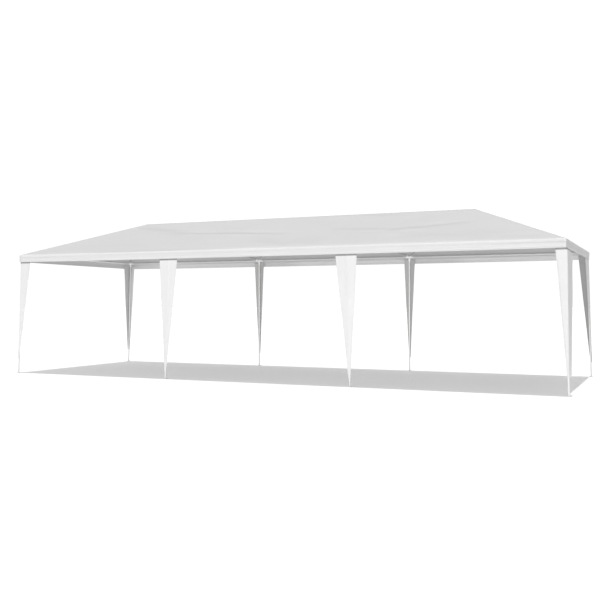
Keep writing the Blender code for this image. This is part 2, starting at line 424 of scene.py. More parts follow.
@dataclass(frozen=True)
class ClothFinish:
    """Coated woven polyethylene: flat tapes under a thin film, with hems stitched in two rows.

    Cloth less than hang from its hem is a valance, with its own gain, rise from hem to eave, bands
    of height and gain, and streaks; the gain, rise and bands are painted light and shade. Its ends,
    past end_from, are painted lighter by a gain of their own. The whole is painted darker to the
    right by fade, a painted shade. Where a strip runs on behind the valance its colour is painted
    dark as the valance's shadow, and the cloth may have an even painted glow.
    """

    name: str
    colour: Colour
    shade: Colour
    roughness: float = 0.46
    tape: float = 0.0026
    tape_height: float = 0.00005
    rough_spread: float = 0.12
    specular: float = 0.35
    relief_shown: float = 0.8
    cloud_scale: float = 0.9
    cloud_share: float = 0.9
    weave_share: float = 0.08
    crumple_stretch: Triple = (3.0, 7.0, 9.0)
    crumple_height: float = 0.0016
    stitch_rows: Pair = (0.0035, 0.0105)
    stitch_length: float = 0.0052
    stitch_share: float = 0.68
    stitch_width: float = 0.0009
    stitch_height: float = 0.0002
    stitch_shade: float = 0.5
    valance_shadow_gain: float = 0.36
    hang: float = 0.118
    valance_light_gain: float = 1.0
    valance_light_rise: float = 0.0
    bands: tuple[Pair, ...] = ()
    streak: float = 0.0
    streak_stretch: Triple = (0.9, 0.9, 70.0)
    streak_middle: float = 0.6
    streak_share: Pair = (0.6, 0.12)
    end_gain: float = 0.0
    end_from: float = 4.49
    fade: float = 0.0
    # An even painted glow, light the cloth gives off though it is no lamp.
    painted_glow: float = 0.0

    def weave(self, graph: Graph) -> Number:
        """The relief of a plain weave: the product of two sines of the cloth's own map."""
        across, along = graph.uv("cloth")
        turn = math.pi / self.tape
        return (across * turn).sin() * (along * turn).sin()

    def stitches(self, graph: Graph) -> Number:
        """The threads of the hem seams: dashes at set distances from the edge.

        Args:
            graph: The material's graph.

        Returns:
            1 on a thread, else 0.
        """
        away, along = graph.uv("seam")
        dash = (along / self.stitch_length).fraction() < self.stitch_share
        rows = [abs(away - row) < self.stitch_width / 2 for row in self.stitch_rows]
        return (rows[0] + rows[1]) * dash

    def banding(self, graph: Graph, height: Number) -> Number | float:
        """How bright the cloth is at each height over its hem: a little whiter at the doubled hem, with
        painted shade where the valance leans in and a painted highlight where it turns over the eave.

        Args:
            graph: The material's graph.
            height: Metres of cloth from the hem.

        Returns:
            The gain, read from the bands.
        """
        if not self.bands:
            return 1.0
        most, reach = max(gain for _, gain in self.bands), self.bands[-1][0]
        stops = [(above / reach, (*(gain / most,) * 3, 1.0)) for above, gain in self.bands]
        return graph.node("ShaderNodeValToRGB", {"stops": stops}, {"Fac": height / reach}) * most

    def gain(self, graph: Graph) -> Number:
        """How bright each place of the cloth is painted, by where it hangs and how it is creased: painted
        light and shade.

        Args:
            graph: The material's graph.

        Returns:
            The gain of the colour.
        """
        place, height = graph.place(), graph.uv("cloth")[1]
        x = graph.part(place, 0)
        hanging = height < self.hang
        # Painted light: the valance is made brighter by a gain of its own, and more so towards the eave.
        rise = (height / self.hang - 0.5) * self.valance_light_rise
        streaks = graph.noise(graph.stretch(place, self.streak_stretch), 1.0) - self.streak_middle
        rise = rise + streaks * (self.streak_share[0] + x * self.streak_share[1]) * self.streak
        # Painted shade: the whole colour is darkened towards the right by the cube of x, and lightened
        # towards the left.
        gain = (1.0 + hanging * (rise + self.valance_light_gain - 1.0)) * (1.0 - x * x * x * self.fade)
        gain = gain * self.banding(graph, height)
        # Painted light: the valance along the two ends of the tent is made lighter.
        gain = gain * (1.0 + (abs(x) > self.end_from) * hanging * self.end_gain)
        return gain * graph.uv("light")[0]

    def material(self) -> bpy.types.Material:
        """Make the material.

        Returns:
            The finished material.
        """
        material, graph = new_material(self.name, self.colour)
        weave, stitches, place = self.weave(graph), self.stitches(graph), graph.place()
        cloud = graph.noise(place, self.cloud_scale, detail=3.0)
        crumple = graph.noise(graph.stretch(place, self.crumple_stretch), 1.0, detail=4.0, roughness=0.55)
        share = 0.5 + (cloud - 0.5) * self.cloud_share + weave * self.weave_share
        share = share - stitches * self.stitch_shade
        colour = graph.scaled(graph.mix(share, self.shade, self.colour), self.gain(graph))
        # Painted shadow: where a strip runs on behind the valance, its colour is darkened to stand for the
        # valance's shadow.
        tucked = graph.uv("seam")[0] > TUCKED / 2
        colour = graph.mix(tucked, colour, tuple(part * self.valance_shadow_gain for part in self.colour))
        rough = self.roughness + (crumple - 0.5) * self.rough_spread
        height = weave * self.tape_height + crumple * self.crumple_height + stitches * self.stitch_height
        inputs = {"Base Color": colour, "Roughness": rough, "Specular IOR Level": self.specular}
        finish_surface(graph, inputs, height, self.relief_shown, self.painted_glow)
        return material


@dataclass(frozen=True)
class CoatFinish:
    """Powder coat on thin steel tube: satin, faintly dimpled, darker where rubbed, and painted darker
    towards the ground as shade.
    """

    name: str
    colour: Colour
    rubbed: Colour
    roughness: float = 0.34
    dimple: float = 0.00002
    dimple_scale: float = 900.0
    dimple_share: float = 0.1
    rub_scale: float = 18.0
    rub_from: float = 0.66
    rub_share: float = 0.35
    unrubbed: float = 0.94
    rough_spread: float = 0.2
    relief_shown: float = 0.6
    foot_shade_gain: float = 0.84
    foot_height: float = 1.0

    def material(self) -> bpy.types.Material:
        """Make the material.

        Returns:
            The finished material.
        """
        material, graph = new_material(self.name, self.colour)
        place = graph.place()
        dimples = graph.noise(place, self.dimple_scale)
        rubbing = graph.noise(place, self.rub_scale, detail=5.0, roughness=0.7)
        share = self.unrubbed - (rubbing > self.rub_from) * self.rub_share
        share = share + (dimples - 0.5) * self.dimple_share
        # Painted shade: the colour darkens towards the ground, from the foot gain at the floor to full at
        # the foot height.
        gain = graph.node("ShaderNodeMapRange", {}, {
            "Value": graph.part(place, 2), "From Max": self.foot_height, "To Min": self.foot_shade_gain})
        colour = graph.scaled(graph.mix(share, self.rubbed, self.colour), gain)
        rough = self.roughness + (rubbing - 0.5) * self.rough_spread
        inputs = {"Base Color": colour, "Roughness": rough}
        finish_surface(graph, inputs, dimples * self.dimple, self.relief_shown)
        return material


@dataclass(frozen=True)
class MouldedFinish:
    """Moulded plastic: matt, with a fine spark-eroded grain, and an even painted glow that lightens it."""

    name: str
    colour: Colour
    shade: Colour
    roughness: float = 0.5
    grain: float = 0.00003
    grain_scale: float = 1400.0
    grain_share: float = 0.15
    flow_scale: float = 22.0
    flow_share: float = 0.5
    least_share: float = 0.35
    rough_spread: float = 0.15
    relief_shown: float = 0.7
    painted_glow: float = 0.12

    def material(self) -> bpy.types.Material:
        """Make the material.

        Returns:
            The finished material.
        """
        material, graph = new_material(self.name, self.colour)
        grain = graph.noise(graph.place(), self.grain_scale, detail=3.0, roughness=0.6)
        flow = graph.noise(graph.place(), self.flow_scale)
        share = self.least_share + flow * self.flow_share + grain * self.grain_share
        rough = self.roughness + (grain - 0.5) * self.rough_spread
        inputs = {"Base Color": graph.mix(share, self.shade, self.colour), "Roughness": rough}
        finish_surface(graph, inputs, grain * self.grain, self.relief_shown, self.painted_glow)
        return material


@dataclass(frozen=True)
class ZincFinish:
    """Bright zinc on small screws."""

    name: str
    colour: Colour = (0.62, 0.62, 0.60)
    shade: Colour = (0.42, 0.42, 0.42)
    roughness: float = 0.25
    rough_spread: float = 0.2
    cloud_scale: float = 700.0
    relief: float = 0.00002
    relief_shown: float = 0.5

    def material(self) -> bpy.types.Material:
        """Make the material.

        Returns:
            The finished material.
        """
        material, graph = new_material(self.name, self.colour)
        cloud = graph.noise(graph.place(), self.cloud_scale, detail=3.0)
        colour = graph.mix(cloud, self.shade, self.colour)
        rough = self.roughness + cloud * self.rough_spread
        inputs = {"Base Color": colour, "Roughness": rough, "Metallic": 1.0}
        finish_surface(graph, inputs, cloud * self.relief, self.relief_shown)
        return material


def put_in_scene(name: str, data: bpy.types.ID) -> bpy.types.Object:
    """A new object with that data, in the scene."""
    made = bpy.data.objects.new(name, data)
    bpy.context.scene.collection.objects.link(made)
    return made


class SurfaceMesh:
    """Grids of points that are gathered and then put into one mesh."""

    def __init__(self) -> None:
        """Start with nothing."""
        self.points: list[Array] = []
        self.quads: list[Array] = []
        self.maps: dict[str, list[Array]] = {"cloth": [], "seam": [], "light": []}
        self.count = 0

    def add(self, points: Array, **maps: Array) -> "SurfaceMesh":
        """Add a grid, whose outside is where its columns crossed with its rows point.

        Args:
            points: x, y, z by row and column.
            maps: Two numbers by row and column. cloth is the place on the cut cloth in metres, seam
                is the distance from and along a stitched edge, and light is how bright the cloth
                is, twice over. A map that isn't given is 1 all over.

        Returns:
            This mesh, for the next grid.
        """
        rows, columns = points.shape[:2]
        index = self.count + np.arange(rows * columns).reshape(rows, columns)
        corners = (index[:-1, :-1], index[:-1, 1:], index[1:, 1:], index[1:, :-1])
        self.quads.append(np.stack(corners, axis=-1).reshape(-1, 4))
        self.points.append(points.reshape(-1, 3))
        for name, gathered in self.maps.items():
            gathered.append(maps.get(name, np.ones((rows, columns, 2))).reshape(-1, 2))
        self.count += rows * columns
        return self

    def build(self, name: str, material: bpy.types.Material, slot: str,
              nodes: tuple[str, ...] = (), sharp: float = 40.0) -> bpy.types.Object:
        """Make the object, weld its doubles, smooth it and ride it on the tent.

        Args:
            name: The piece's name.
            material: Its finish.
            slot: The record's material slot; not used.
            nodes: The CAD nodes that it stands for.
            sharp: Edges sharper than this many degrees stay sharp.

        Returns:
            The object.
        """
        mesh = bpy.data.meshes.new(name)
        quads = np.concatenate(self.quads)
        mesh.from_pydata(np.concatenate(self.points), [], quads)
        for layer, rows in self.maps.items():
            corners = np.concatenate(rows)[quads.ravel()]
            mesh.uv_layers.new(name=layer).data.foreach_set("uv", corners.ravel())
        shape = bmesh.new()
        shape.from_mesh(mesh)
        bmesh.ops.remove_doubles(shape, verts=shape.verts, dist=WELD)
        bmesh.ops.dissolve_degenerate(shape, edges=shape.edges, dist=LEAST_EDGE)
        shape.to_mesh(mesh)
        shape.free()
        mesh.shade_smooth()
        mesh.set_sharp_from_angle(angle=math.radians(sharp))
        mesh.materials.append(material)
        made = put_in_scene(name, mesh)
        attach(made, BODY)
        if nodes:
            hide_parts(*nodes)
        return made

    def build_cloth(self, name: str, slot: str, node: str, faces: tuple[bpy.types.Material, ...],
                    thickness: float) -> bpy.types.Object:
        """Make a sheet of cloth and give it its thickness on its inner side.

        Args:
            name: The piece's name.
            slot: The record's material slot.
            node: The CAD node that it stands for.
            faces: The finish of the outer side and of the inner side, a darker copy that is painted shade.
            thickness: The cloth's thickness.

        Returns:
            The sheet.
        """
        made = self.build(name, faces[0], slot, (node,), sharp=75.0)
        made.data.materials.append(faces[1])
        wall = made.modifiers.new("cloth_thickness", "SOLIDIFY")
        # The inner side takes the second finish, a darker copy of the cloth: painted shade.
        wall.material_offset = 1
        wall.thickness = thickness
        wall.offset = -1.0
        wall.use_even_offset = True
        return made


def turned(start: Array, direction: Array, profile: Array, sides: int = 32) -> Array:
    """A profile turned about an axis: start + s * direction + r * (cos a * side + sin a * up).

    Args:
        start: Where the axis starts.
        direction: The way of the axis, one metre long.
        profile: Rows of s along the axis and r away from it, metres.
        sides: How many faces go round.

    Returns:
        The grid of points, closed round the axis. Its outside is out where s grows.
    """
    helper = UP if abs(direction[2]) < STEEP else np.array([1.0, 0.0, 0.0])
    side = unit(np.cross(direction, helper))
    up = np.cross(direction, side)
    angle = circle(sides)
    round_axis = np.cos(angle)[:, None] * side + np.sin(angle)[:, None] * up
    along, away = np.asarray(profile).T
    return start + along[:, None, None] * direction + away[:, None, None] * round_axis


@dataclass(frozen=True)
class Wrinkle:
    """One long soft fold in the roof, over a line in plan from start to end."""

    start: Pair
    end: Pair
    width: float
    height: float

    def lift(self, x: Array, y: Array) -> Array:
        """How far the fold lifts the cloth: a bell across its line that fades at both ends."""
        away, share = distance_to_segment(x, y, np.array(self.start), np.array(self.end))
        return self.height * hump(away, 0.0, self.width) * np.sin(math.pi * share) ** 0.5


@dataclass
class RoofCover:
    """The hipped cloth roof with its valance, as one sheet.

    Faces are the finishes of the outer side and of the inner side, a darker copy whose colour is
    painted shade. The valance has rows at set heights over the hem, and valance_out gives how far it
    stands out at each. Creases are wrinkles whose height is a loss of light: painted shade along the
    roof's folds.
    """

    plan: TentPlan
    faces: tuple[bpy.types.Material, ...]
    cell: float = 0.045
    corner: float = 0.010
    corner_steps: int = 4
    fold: float = 0.007
    fold_steps: int = 5
    ridge_round: float = 0.008
    slope_rows: int = 38
    sag: float = 0.009
    sag_reach: float = 0.34
    thickness: float = 0.0008
    top_in: float = 0.0034
    dip: float = 0.009
    dip_reach: float = 0.02
    dip_power: int = 4
    end_relief: float = 0.3
    hip_seam: float = 0.7
    pole_fade: float = 0.10
    eave_fade: Pair = (0.02, 0.12)
    fold_on_pole: float = 0.45
    ripple: Wave = Wave(0.0012, 9.0)
    ripple_bend: Wave = Wave(3.0, 1.7)
    ripple_cross: Wave = Wave(1.0, 5.3)
    ripple_slant: float = 1.1
    swing_waves: tuple[Wave, ...] = (
        Wave(0.0016, 1.9, 0.6), Wave(0.00096, 4.3, 1.9), Wave(0.00064, 8.9, 0.4))
    swing_power: float = 1.5
    swing_in: float = 0.0012
    drag: Wave = Wave(0.0016, 15.0)
    drag_bend: Wave = Wave(2.2, 0.7)
    drag_share: Wave = Wave(0.4, 0.9, 0.9)
    fine: Wave = Wave(0.0005, 34.0)
    fine_bend: Wave = Wave(3.1, 1.3, 1.0)
    fine_share: Wave = Wave(1.0, 0.6)
    valance_rows: tuple[float, ...] = (0.0, 0.004, 0.008, 0.0115, 0.0165, 0.019, 0.024, 0.030, 0.034, 0.046,
                                       0.058, 0.068, 0.0745, 0.0775, 0.0805, 0.087, 0.0945, 0.0985, 0.104)
    valance_full: float = 0.110
    valance_out: tuple[Pair, ...] = (
        (0.0, 0.0), (0.0165, -0.0018), (0.019, -0.0030), (0.030, -0.0032), (0.0745, -0.0008),
        (0.0775, -0.0036), (0.0805, -0.0002), (0.0985, 0.0))
    wrinkles: tuple[Wrinkle, ...] = (
        Wrinkle((-3.1, -0.22), (-1.5, -0.72), 0.055, 0.0102),
        Wrinkle((-2.0, -0.60), (0.4, -0.86), 0.060, -0.0102),
        Wrinkle((-1.7, -0.72), (0.2, -0.98), 0.050, 0.0068),
        Wrinkle((-0.3, -1.12), (0.6, -1.50), 0.045, -0.0085),
        Wrinkle((-0.2, -1.22), (0.8, -1.52), 0.040, 0.0068),
        Wrinkle((0.9, -0.80), (2.4, -0.95), 0.050, 0.0102),
        Wrinkle((1.6, -1.00), (3.1, -0.58), 0.050, -0.0102),
        Wrinkle((1.9, -1.12), (3.2, -1.30), 0.050, 0.0068),
        Wrinkle((3.3, -1.36), (4.3, -1.40), 0.045, -0.0051),
        Wrinkle((-3.6, -1.38), (-2.2, -1.25), 0.050, 0.0051),
        Wrinkle((-2.8, 0.35), (-1.0, 0.80), 0.055, 0.0085),
        Wrinkle((-0.6, 0.92), (1.5, 0.70), 0.060, -0.0085),
        Wrinkle((1.2, 1.22), (2.9, 0.66), 0.050, 0.0068),
        Wrinkle((2.7, 1.35), (4.0, 1.20), 0.045, -0.0068),
        Wrinkle((3.5, -0.6), (4.1, 0.3), 0.060, 0.0068),
        Wrinkle((-4.1, -0.2), (-3.5, 0.7), 0.060, -0.0068),
    )
    # Painted shade: lines along the roof's folds where its colour is darkened; height is the share of light
    # taken off.
    creases: tuple[Wrinkle, ...] = (
        Wrinkle((-3.00, -0.23), (-1.70, -0.72), 0.070, 0.080),
        Wrinkle((-2.00, -0.64), (0.25, -0.88), 0.060, 0.090),
        Wrinkle((-0.40, -0.95), (0.55, -1.50), 0.100, 0.040),
        Wrinkle((-3.00, -1.57), (-0.50, -1.59), 0.048, 0.110),
        Wrinkle((0.95, -0.82), (2.15, -0.93), 0.046, 0.085),
        Wrinkle((1.90, -0.95), (3.05, -0.67), 0.064, 0.090),
        Wrinkle((2.10, -1.22), (3.15, -1.32), 0.046, 0.060),
        Wrinkle((1.10, -0.06), (1.95, -0.17), 0.046, 0.060),
        Wrinkle((0.45, -1.22), (1.10, -1.28), 0.240, 0.028),
        Wrinkle((3.00, -1.16), (3.95, -1.28), 0.160, 0.025),
    )

    def columns(self) -> tuple[Array, Array, Array, Array, Array]:
        """Where each column runs, round the roof from the front left corner and back.

        Returns:
            cx, cy: the point of a square from -1 to 1 that the column follows.
            nx, ny: its outward direction in plan.
            along: the distance round the eave, in metres.
        """
        parts = []
        for turn, length in enumerate((self.plan.half_x, self.plan.half_y) * 2):
            steps = max(2, round(2 * length / self.cell))
            share = np.linspace(-1.0, 1.0, steps + 1)
            angle = math.radians(-90.0 + 90.0 * turn)
            ahead = angle + math.pi / 2
            arc = np.linspace(angle, ahead, self.corner_steps + 1)[1:-1]
            cx = share * math.cos(ahead) + math.cos(angle)
            cy = share * math.sin(ahead) + math.sin(angle)
            cx, cy = (np.concatenate((row, np.full(arc.size, row[-1]))) for row in (cx, cy))
            parts.append(np.stack((cx, cy, np.concatenate((np.full(steps + 1, angle), arc)))))
        cx, cy, angle = np.concatenate(parts, axis=1)
        cx, cy, angle = (np.append(row, row[0]) for row in (cx, cy, angle))
        x, y = cx * self.plan.half_x, cy * self.plan.half_y
        along = np.append(0.0, np.cumsum(np.hypot(np.diff(x), np.diff(y))))
        return cx, cy, np.cos(angle), np.sin(angle), along

    def rows(self) -> tuple[Array, Array, Array, Array, Array]:
        """The cross-section from the hem up to the ridge.

        Returns:
            inset: share of the way from the eave to the ridge.
            height: z.
            out: how far the row hangs outside the eave line.
            tilt: 0 where the cloth hangs upright, 1 on the slope.
            length: metres of cloth from the hem.
        """
        plan, pitch = self.plan, self.plan.side_pitch
        end_inset = self.fold * (1.0 - math.sin(pitch))
        top = plan.eave + end_inset * math.tan(pitch) - self.fold * math.cos(pitch)
        hem = plan.eave - plan.valance
        depth = np.array(self.valance_rows)
        height = hem + depth * (top - hem) / self.valance_full
        out = np.interp(depth, *np.transpose((*self.valance_out, (self.valance_full, -self.top_in))))
        flat = np.zeros(depth.size)
        turn = np.linspace(0.0, math.pi / 2 - pitch, self.fold_steps + 1)
        fold_inset = self.fold * (1.0 - np.cos(turn)) / plan.half_y
        fold_height = top + self.fold * np.sin(turn)
        share = np.linspace(fold_inset[-1], 1.0, self.slope_rows + 1)[1:]
        soft = self.ridge_round / plan.half_y
        slope_height = plan.ridge - plan.rise * np.hypot(1.0 - share, soft)
        slope_height += plan.rise * (math.hypot(1.0, soft) - 1.0)
        inset = np.concatenate((flat, fold_inset, share))
        height = np.concatenate((height, fold_height, slope_height))
        out = np.concatenate((out, self.top_in * (turn / turn[-1] - 1.0), np.zeros(share.size)))
        tilt = np.concatenate((flat, turn / turn[-1], np.ones(share.size)))
        run = np.hypot(np.diff(inset * plan.half_y), np.diff(height))
        return inset, height, out, tilt, np.append(0.0, np.cumsum(run))

    def slack(self, x: Array, y: Array) -> Array:
        """How far the slope's cloth lies off its flat plane, outward.

        The cloth sinks between poles by sag times one minus a bell of the distance to the nearest
        pole. Each wrinkle adds its own lift, and so does a bent ripple times one that crosses it.
        These fade out over the poles and at the eaves.

        Args:
            x: x of points on the slope.
            y: y of points on the slope.

        Returns:
            The offset square to the slope, in metres.
        """
        from_eave = np.minimum(self.plan.half_y - np.abs(y), self.plan.half_x - np.abs(x))
        away = np.maximum(from_eave - self.plan.overhang, 0.0)
        for name, start, end in self.plan.spans():
            if not name.startswith("eave"):
                away = np.minimum(away, distance_to_segment(x, y, start, end)[0])
        sunk = self.sag * (hump(away, 0.0, self.sag_reach) - 1.0)
        folds = sum(wrinkle.lift(x, y) for wrinkle in self.wrinkles)
        over_poles = blend_over(away, 0.0, self.pole_fade)
        kept = self.fold_on_pole + (1.0 - self.fold_on_pole) * over_poles
        folds = np.maximum(folds, 0.0) * kept + np.minimum(folds, 0.0) * over_poles
        ripple = self.ripple.at(x, self.ripple_bend.at(y, x))
        ripple = ripple * self.ripple_cross.at(y, self.ripple_slant * x)
        return sunk + (folds + ripple * over_poles) * blend_over(from_eave, *self.eave_fade)

    def light(self, x: Array, y: Array) -> Array:
        """How bright the roof is painted: 1 less the lift of each crease, turned half round at the back;
        painted shade along its folds.

        Args:
            x: x of points on the slope.
            y: y of points on the slope.

        Returns:
            The gain of the cloth's colour.
        """
        x = np.where(y > 0.0, -x, x)
        return 1.0 - sum(crease.lift(x, -np.abs(y)) for crease in self.creases)

    def swing(self, along: Array, hang: Array) -> Array:
        """How far the valance swings in or out.

        Slow waves round the eave grow towards the hem, which leans in a little. Drag folds and fine
        folds run along the eave, are bent by other waves, and fade at the eave and at the hem.

        Args:
            along: Metres round the eave.
            hang: 0 at the eave, 1 at the hem.

        Returns:
            The offset outward, in metres.
        """
        slow = sum(wave.at(along) for wave in self.swing_waves)
        drag = self.drag.at(hang, self.drag_bend.at(along))
        drag = drag * (1.0 - self.drag_share.size + self.drag_share.at(along))
        fine = self.fine.at(hang, self.fine_bend.at(along)) * self.fine_share.at(along)
        slow = slow * hang ** self.swing_power - self.swing_in * hang
        return slow + (drag + fine) * np.sin(math.pi * hang)

    def build(self) -> list[bpy.types.Object]:
        """Returns:
            The cover, alone in a list.
        """
        plan = self.plan
        cx, cy, nx, ny, along = self.columns()
        inset, height, out, tilt, length = (row[:, None] for row in self.rows())
        half_x = plan.half_x - (plan.half_x - plan.ridge_half) * inset
        half_y = plan.half_y * (1.0 - inset)
        corner = np.minimum(self.corner, half_y)
        x = cx * (half_x - corner) + corner * nx
        y = cy * (half_y - corner) + corner * ny
        hem, top = height[0], height[np.argmax(tilt > 0)]
        hang = np.clip((top - height) / (top - hem), 0.0, 1.0)
        lean = tilt * math.cos(plan.side_pitch)
        flat = np.sqrt(1.0 - lean**2)
        slope = tilt >= 1.0
        long_side = np.abs(ny) > np.abs(nx)
        relief = np.where(long_side, 1.0, self.end_relief)
        dip = self.dip * (1.0 - np.minimum(np.abs(x) / plan.corner_x, 1.0) ** self.dip_power) * long_side
        z = height - dip * np.clip(1.0 - inset / self.dip_reach, 0.0, 1.0)
        off = np.where(slope, self.slack(x, y), out * relief + self.swing(along, hang))
        off = off * (inset < 1.0)
        points = together(x + off * flat * nx, y + off * flat * ny, z + off * lean)
        to_hip = np.abs(np.where(long_side, half_x - np.abs(x), half_y - np.abs(y))) * self.hip_seam
        light = np.where(slope, self.light(x, y), 1.0)
        piece = SurfaceMesh().add(
            points, cloth=together(np.where(long_side, x, y), length), light=together(light, light),
            seam=together(np.where(slope, to_hip, length), np.where(slope, length, along)),
        ).build_cloth("cover_cloth", "cover_fabric", "roof_cover", self.faces, self.thickness)
        slope_side = math.hypot(plan.half_y, plan.rise)
        slope_end = math.hypot(plan.half_x - plan.ridge_half, plan.rise)
        area = 2 * (plan.half_x + plan.ridge_half) * slope_side + 2 * plan.half_y * slope_end
        area += 4 * (plan.half_x + plan.half_y) * plan.valance
        [name for name, _, _ in plan.spans()]
        return [piece]


@dataclass(frozen=True)
class StripCut:
    """How one kind of leg strip is cut and hung, in metres.

    It hangs from top to bottom, and is row wide at its top. On a corner leg row is one wing and end
    is the other, which runs along the end of the tent. Pairs are for the left and the right corner.
    Crease is the extra lift over a middle leg, and curl is how far the edges there bend in.
    """

    bottom: float
    top: float
    row: Pair
    end: Pair = (0.0, 0.0)
    fold_out: Pair = (0.0, 0.0)
    fold_in: float = 0.0
    lean_top: Pair = (0.0, 0.0)
    lean_tail: float = 0.0
    slant: float = 0.0
    crease: float = 0.0
    curl: float = 0.0


class StripKind(Enum):
    """The four kinds of leg strip."""

    FRONT_CORNER = StripCut(0.250, 1.880, row=(0.213, 0.149), end=(0.149, 0.213), fold_out=(0.019, 0.045),
                            fold_in=0.004, lean_top=(0.044, 0.044), lean_tail=0.026, slant=0.036)
    BACK_CORNER = StripCut(0.240, 1.975, row=(0.113, 0.166), end=(0.219, 0.166), fold_out=(0.0265, 0.0265),
                           fold_in=-0.003, lean_top=(-0.010, -0.045))
    FRONT_MIDDLE = StripCut(0.110, 1.872, row=(0.327, 0.327), crease=0.0042, curl=0.004)
    BACK_MIDDLE = StripCut(0.240, 1.975, row=(0.199, 0.199), curl=0.014)


@dataclass
class LegStrips:
    """The tapered cloth strips down the legs: folded round the corners, flat on the middle legs.

    Faces are the finishes of the outer side and of the inner side, a darker copy that is painted shade.
    """

    plan: TentPlan
    faces: tuple[bpy.types.Material, ...]
    tail: float = 0.028
    rows: int = 93
    inner_columns: int = 22
    crowding: float = 1.7
    hem_steps: tuple[float, ...] = (0.0, 0.0015, 0.004, 0.0085, 0.0125, 0.0140)
    hem_room: float = 2.2
    hem_thick: float = 0.0007
    hem_profile: tuple[Pair, ...] = ((0, 0.3), (1, 1.0), (4, 1.0), (5, 0.0))
    thickness: float = 0.0008
    fold_round: float = 0.0035
    leg_gap: float = 0.0018
    flare: float = 0.004
    flare_heights: Pair = (1.80, 1.92)
    tuck_top: float = 1.915
    tuck_in: float = 0.0115
    tuck_shares: tuple[float, ...] = (0.02, 0.3, 0.6, 0.8, 1.0)
    slope_spare: float = 1.01
    crease: float = 0.0016
    crease_high: Pair = (1.62, 0.32)
    crease_across: Pair = (0.004, 0.016)
    curl_widths: Pair = (0.02, 0.09)
    curl_power: int = 3
    middle_waves: tuple[Wave, ...] = (Wave(0.0022, 5.2), Wave(0.0014, 11.0))
    middle_slants: Pair = (2.2, -3.5)
    middle_phases: Pair = (1.7, 3.0)
    corner_waves: tuple[Wave, ...] = (Wave(0.0030, 4.6), Wave(0.0015, 10.5))
    corner_crease: Wave = Wave(0.0026, 34.0)
    corner_bend: Wave = Wave(2.0, 2.1)
    corner_widths: Pair = (0.03, 0.12)
    corner_phases: Triple = (2.3, 1.1, 2.0)
    row_share: float = 0.8
    row_power: float = 1.5
    end_power: float = 1.3
    slant_power: int = 8

    def taper(self, cut: StripCut, top_width: float, height: Array) -> Array:
        """A width at given heights: a straight taper from the tail to the top."""
        return self.tail + (height - cut.bottom) / (cut.top - cut.bottom) * (top_width - self.tail)

    def stand_off(self, height: Array) -> Array:
        """How far the cloth's outer face is from the leg's axis: further off beside the socket."""
        ease = blend_over(height, *self.flare_heights)
        return self.plan.tube + self.leg_gap + self.thickness + self.flare * ease

    def edge_columns(self, reach: Array) -> tuple[Array, Array]:
        """Distances from one free edge that put a column on each step of the hem.

        Args:
            reach: The distance from the edge to where these columns stop, one to a row.

        Returns:
            The distances by row and column, and the thickness of the hem there.
        """
        steps = np.array(self.hem_steps)
        hem = steps * np.minimum(1.0, reach / (self.hem_room * steps[-1]))
        inner = 1.0 - (1.0 - np.linspace(0.0, 1.0, self.inner_columns)[1:]) ** self.crowding
        away = np.concatenate((hem, hem[:, -1:] + inner * (reach - hem[:, -1:])), axis=1)
        thick = np.interp(np.arange(away.shape[1]), *np.transpose(self.hem_profile))
        return away, np.broadcast_to(thick * self.hem_thick, away.shape)

    def across_columns(self, first: Array, last: Array) -> tuple[Array, Array, Array]:
        """Columns across a strip between its two free edges.

        Args:
            first: The width before the middle or fold, one to a row.
            last: The width after it.

        Returns:
            Distance across from the fold, distance from the nearest edge, thickness of the hem.
        """
        (away, thick), (away_b, thick_b) = self.edge_columns(first), self.edge_columns(last)
        across = np.concatenate((away - first, last - away_b[:, -2::-1]), axis=1)
        away = np.concatenate((away, away_b[:, -2::-1]), axis=1)
        return across, away, np.concatenate((thick, thick_b[:, -2::-1]), axis=1)

    def build_one(self, column: int, side: Side, name: str) -> bpy.types.Object:
        """Make the strip of one leg.

        Args:
            column: Which column of legs, from 0 at the left.
            side: Which long side.
            name: The leg's name.

        Returns:
            The strip.
        """
        plan, corner, which = self.plan, self.plan.is_corner(column), 1 if column else 0
        cut = StripKind[f"{side.name}_{'CORNER' if corner else 'MIDDLE'}"].value
        z = np.linspace(cut.bottom, cut.top, self.rows)[:, None]
        axis = plan.leg_axis(column, side, z)
        width = self.taper(cut, cut.row[which], z)
        if corner:
            wing = self.taper(cut, cut.end[which], z)
            points, away, run = self.corner_grid(column, side, cut, z, axis, width, wing)
            width = width + wing
        else:
            points, away, run = self.middle_grid(side, cut, z, axis, width)
        if side is Side.FRONT:
            points = np.concatenate((points, self.tucked(points[-1])))
            more = points.shape[0] - z.size
            # The rows behind the valance are marked in the seam map, and the finish paints them dark as the
            # valance's shadow.
            away = np.concatenate((away, np.full((more, away.shape[1]), TUCKED)))
            run = np.concatenate((run, np.repeat(run[-1:], more, axis=0)))
        cloth, seam = (together(first, points[..., 2]) for first in (run, away))
        piece = SurfaceMesh().add(points, cloth=cloth, seam=seam).build_cloth(
            f"strip_cloth_{name}", "strip_fabric", f"leg_strip_{name}", self.faces, self.thickness)
        return piece

    def tucked(self, edge: Array) -> Array:
        """The strip's upper edge run on up behind the valance: edge + share * (goal - edge).

        Args:
            edge: The last row of points below the valance.

        Returns:
            The rows that follow it.
        """
        reach = np.array([self.plan.half_x, self.plan.half_y]) - self.tuck_in
        high = np.full((len(edge), 1), self.tuck_top)
        goal = np.concatenate((np.clip(edge[:, :2], -reach, reach), high), axis=1)
        return edge + np.array(self.tuck_shares)[:, None, None] * (goal - edge)

